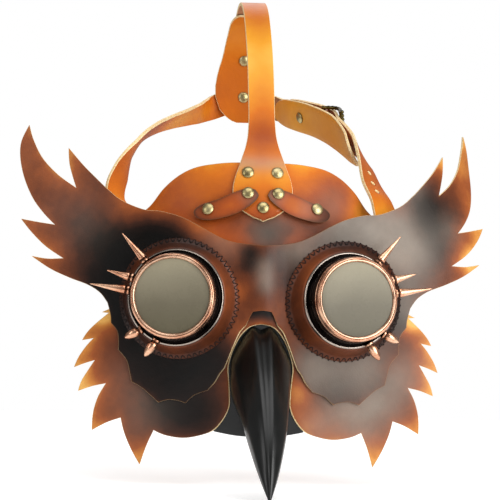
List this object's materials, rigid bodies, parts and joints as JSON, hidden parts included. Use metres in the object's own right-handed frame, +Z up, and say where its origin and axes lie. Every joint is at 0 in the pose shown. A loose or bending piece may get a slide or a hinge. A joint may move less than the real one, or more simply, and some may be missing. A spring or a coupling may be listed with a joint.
{
  "type": "plague doctor mask",
  "caption": "Bird-beaked leather costume mask with winged brow, feathered cheeks, spiked round goggles and a buckled head harness.",
  "frame": {"origin": "on the centre line at eye level, on the front of the nose bridge, where the mask rests on the face", "axes": "+X to the right in the front view, the front faces -Y, +Y towards the wearer's face, +Z up"},
  "size_m": [0.3138, 0.2756, 0.3304],
  "materials": {
    "wing_leather": "antiqued two-tone dark brown, rust towards the edges, semi-gloss wax",
    "cheek_leather": "antiqued mid brown with orange feather tips, semi-gloss",
    "cone_leather": "antiqued chestnut, smooth",
    "forehead_leather": "antiqued tan with darker centre, semi-gloss",
    "strap_leather": "golden tan, natural cream cut edges, smooth",
    "beak_black": "glossy black coated leather",
    "dark_metal": "blackened bronze, bare bright flange edge",
    "gasket_rubber": "matt black",
    "copper": "antique copper plate, polished high spots",
    "smoked_glass": "smoked grey-olive lens, polished",
    "antique_brass": "antique brass, dark in the recesses"
  },
  "bodies": {
    "mask": {"wing_panel": "wing_leather", "cheek_panel": "cheek_leather", "forehead_panel": "forehead_leather", "eye_cone_left": "cone_leather", "cup_left": "dark_metal", "gasket_left": "gasket_rubber", "spike_left_upper": "copper", "spike_left_middle": "copper", "spike_left_side": "copper", "spike_left_lower": "copper", "spike_left_bottom": "copper", "eye_cone_right": "cone_leather", "cup_right": "dark_metal", "gasket_right": "gasket_rubber", "spike_right_upper": "copper", "spike_right_middle": "copper", "spike_right_side": "copper", "spike_right_lower": "copper", "spike_right_bottom": "copper", "beak_shell": "beak_black", "beak_flange": "beak_black", "head_strap": "strap_leather", "brow_tab_left": "forehead_leather", "brow_tab_right": "forehead_leather", "rivet_brow_upper_left": "antique_brass", "rivet_brow_upper_right": "antique_brass", "rivet_brow_inner_left": "antique_brass", "rivet_brow_inner_right": "antique_brass", "rivet_brow_centre": "antique_brass", "rivet_brow_outer_left": "antique_brass", "rivet_brow_outer_right": "antique_brass", "rear_patch": "strap_leather", "rivet_rear_upper": "antique_brass", "rivet_rear_lower": "antique_brass", "side_strap_left": "strap_leather", "chape_strap": "strap_leather", "billet_strap": "strap_leather", "buckle_pad": "strap_leather", "rivet_buckle_pad": "antique_brass"},
    "lens_left": {"lens_left": "smoked_glass"},
    "lens_right": {"lens_right": "smoked_glass"},
    "ring_left": {"lens_ring_left": "copper"},
    "ring_right": {"lens_ring_right": "copper"},
    "buckle_frame": {"buckle_frame": "antique_brass"},
    "buckle_prong": {"buckle_prong": "antique_brass"}
  },
  "joints": [
    {"name": "lens_travel_left", "type": "slide", "parent": "mask", "child": "lens_left", "axis": [-0.2071, -0.9744, 0.0872], "range_m": [0, 0.00245]},
    {"name": "ring_unscrew_left", "type": "hinge", "parent": "lens_left", "child": "ring_left", "pos_m": [-0.05926, -0.01721, 0], "axis": [-0.2071, -0.9744, 0.0872], "range_deg": [0, 720]},
    {"name": "lens_travel_right", "type": "slide", "parent": "mask", "child": "lens_right", "axis": [0.2071, -0.9744, 0.0872], "range_m": [0, 0.00245]},
    {"name": "ring_unscrew_right", "type": "hinge", "parent": "lens_right", "child": "ring_right", "pos_m": [0.05926, -0.01721, 0], "axis": [0.2071, -0.9744, 0.0872], "range_deg": [0, 720]},
    {"name": "buckle_frame_tilt", "type": "hinge", "parent": "mask", "child": "buckle_frame", "pos_m": [0.05278, 0.12547, 0.12278], "axis": [-0.1501, -0.3824, 0.9117], "range_deg": [0, 8]},
    {"name": "buckle_prong_lift", "type": "hinge", "parent": "buckle_frame", "child": "buckle_prong", "pos_m": [0.05278, 0.12547, 0.12278], "axis": [-0.1501, -0.3824, 0.9117], "range_deg": [0, 8]}
  ],
  "couplings": [
    {"joint": "lens_travel_left", "follows": "ring_unscrew_left", "m_per_rad": 0.00019099},
    {"joint": "lens_travel_right", "follows": "ring_unscrew_right", "m_per_rad": 0.00019099}
  ]
}
